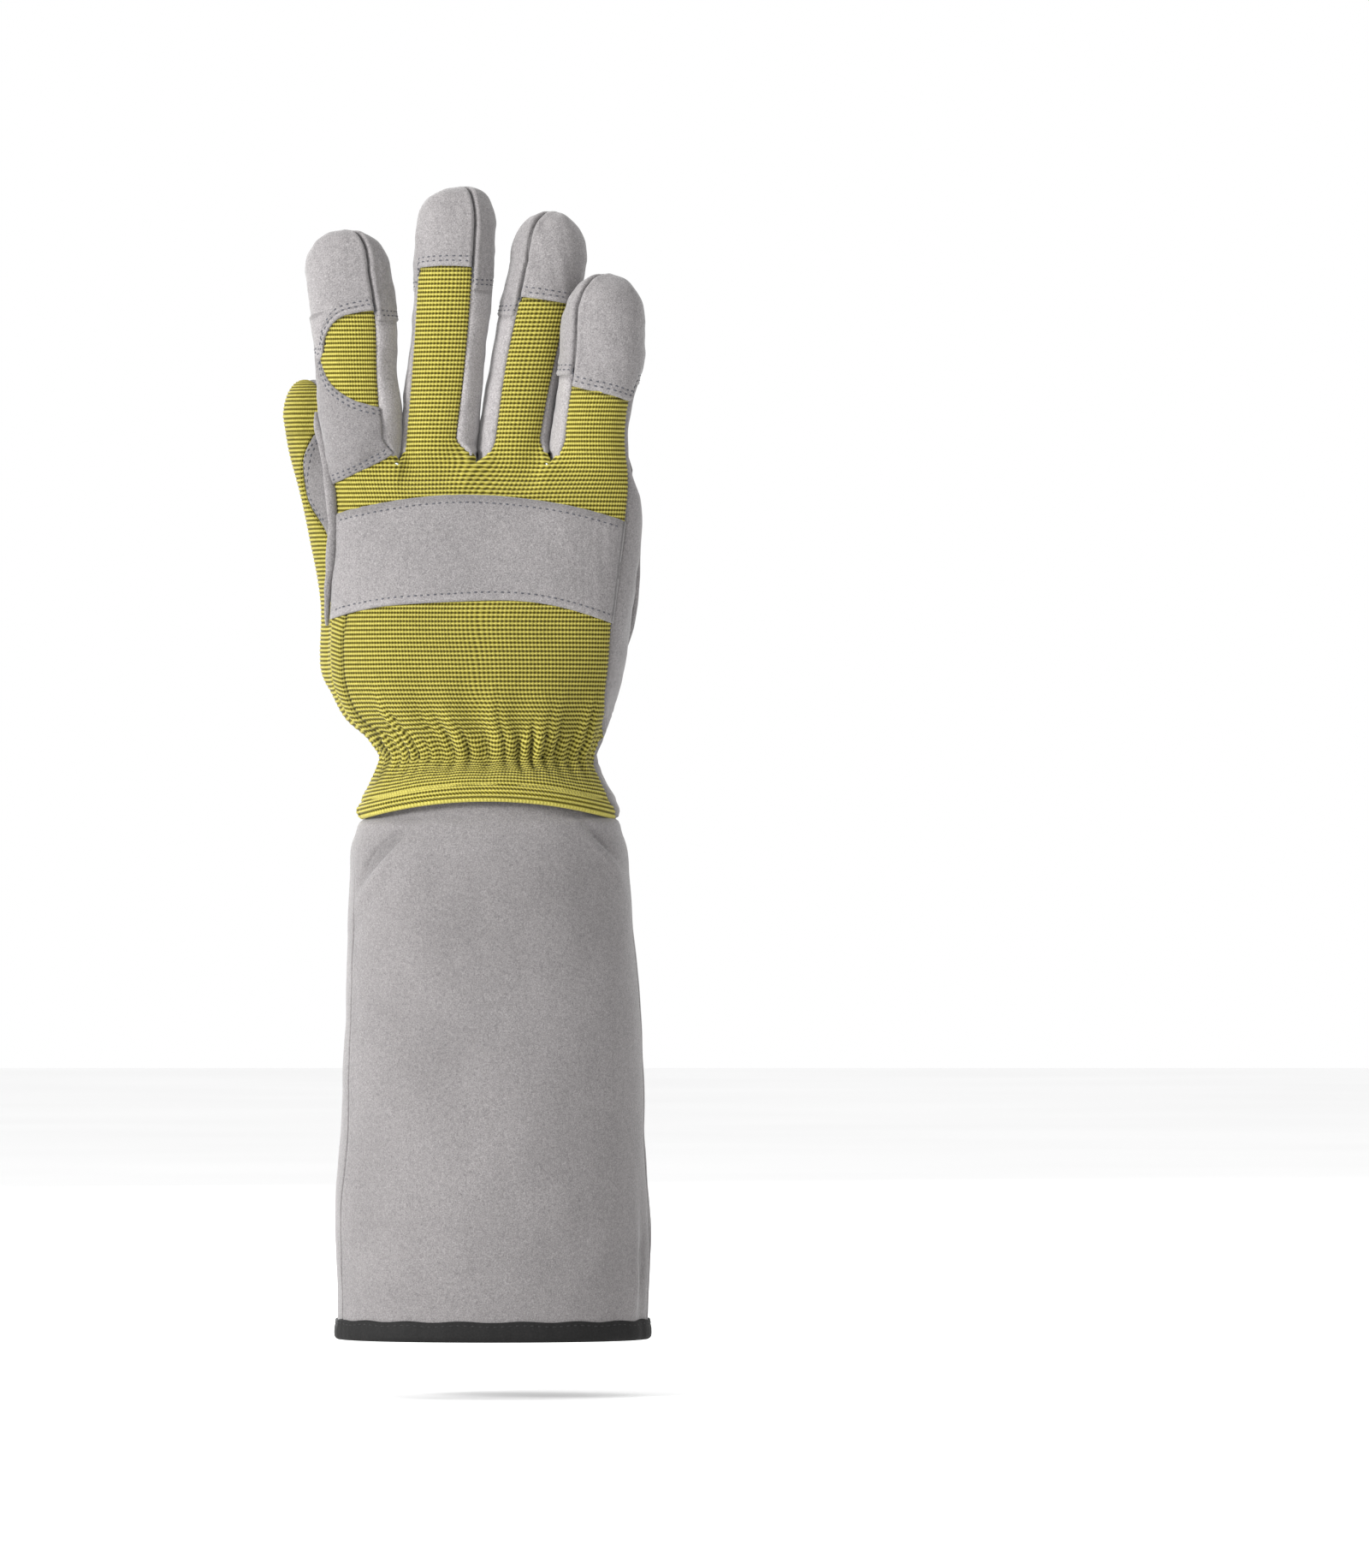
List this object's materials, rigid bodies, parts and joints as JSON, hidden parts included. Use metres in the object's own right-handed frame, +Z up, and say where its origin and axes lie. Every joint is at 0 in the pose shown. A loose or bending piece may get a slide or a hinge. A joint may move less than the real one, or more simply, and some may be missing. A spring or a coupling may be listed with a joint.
{
  "type": "pruning gauntlet glove",
  "caption": "Long-cuffed suede and ribbed-cloth gardening gauntlet for the right hand, open and hollow, with a padded heel and gathered wrist.",
  "frame": {"origin": "centre of the open hem, in its plane, where the arm goes in", "axes": "+Z up the arm towards the fingertips, back of the hand towards -Y, palm towards +Y, thumb towards -X"},
  "size_m": [0.1304, 0.0828, 0.404],
  "materials": {
    "cuff": "napped synthetic suede",
    "palm_suede": "napped synthetic suede",
    "thumb_palm": "napped synthetic suede",
    "index_middle_gusset": "napped synthetic suede",
    "middle_ring_gusset": "napped synthetic suede",
    "ring_little_gusset": "napped synthetic suede",
    "index_cap": "napped synthetic suede",
    "middle_cap": "napped synthetic suede",
    "ring_cap": "napped synthetic suede",
    "little_cap": "napped synthetic suede",
    "index_wrap": "napped synthetic suede",
    "knuckle_strap": "napped synthetic suede",
    "palm_pad": "napped synthetic suede",
    "heel_pad": "napped synthetic suede",
    "back_panel": "ribbed stretch cloth",
    "thumb_back": "ribbed stretch cloth",
    "hem_binding": "woven binding tape"
  },
  "bodies": {
    "root": {"cuff": "cuff", "palm_suede": "palm_suede", "thumb_palm": "thumb_palm", "index_middle_gusset": "index_middle_gusset", "middle_ring_gusset": "middle_ring_gusset", "ring_little_gusset": "ring_little_gusset", "index_cap": "index_cap", "middle_cap": "middle_cap", "ring_cap": "ring_cap", "little_cap": "little_cap", "index_wrap": "index_wrap", "knuckle_strap": "knuckle_strap", "palm_pad": "palm_pad", "heel_pad": "heel_pad", "back_panel": "back_panel", "thumb_back": "thumb_back", "hem_binding": "hem_binding"}
  },
  "joints": []
}
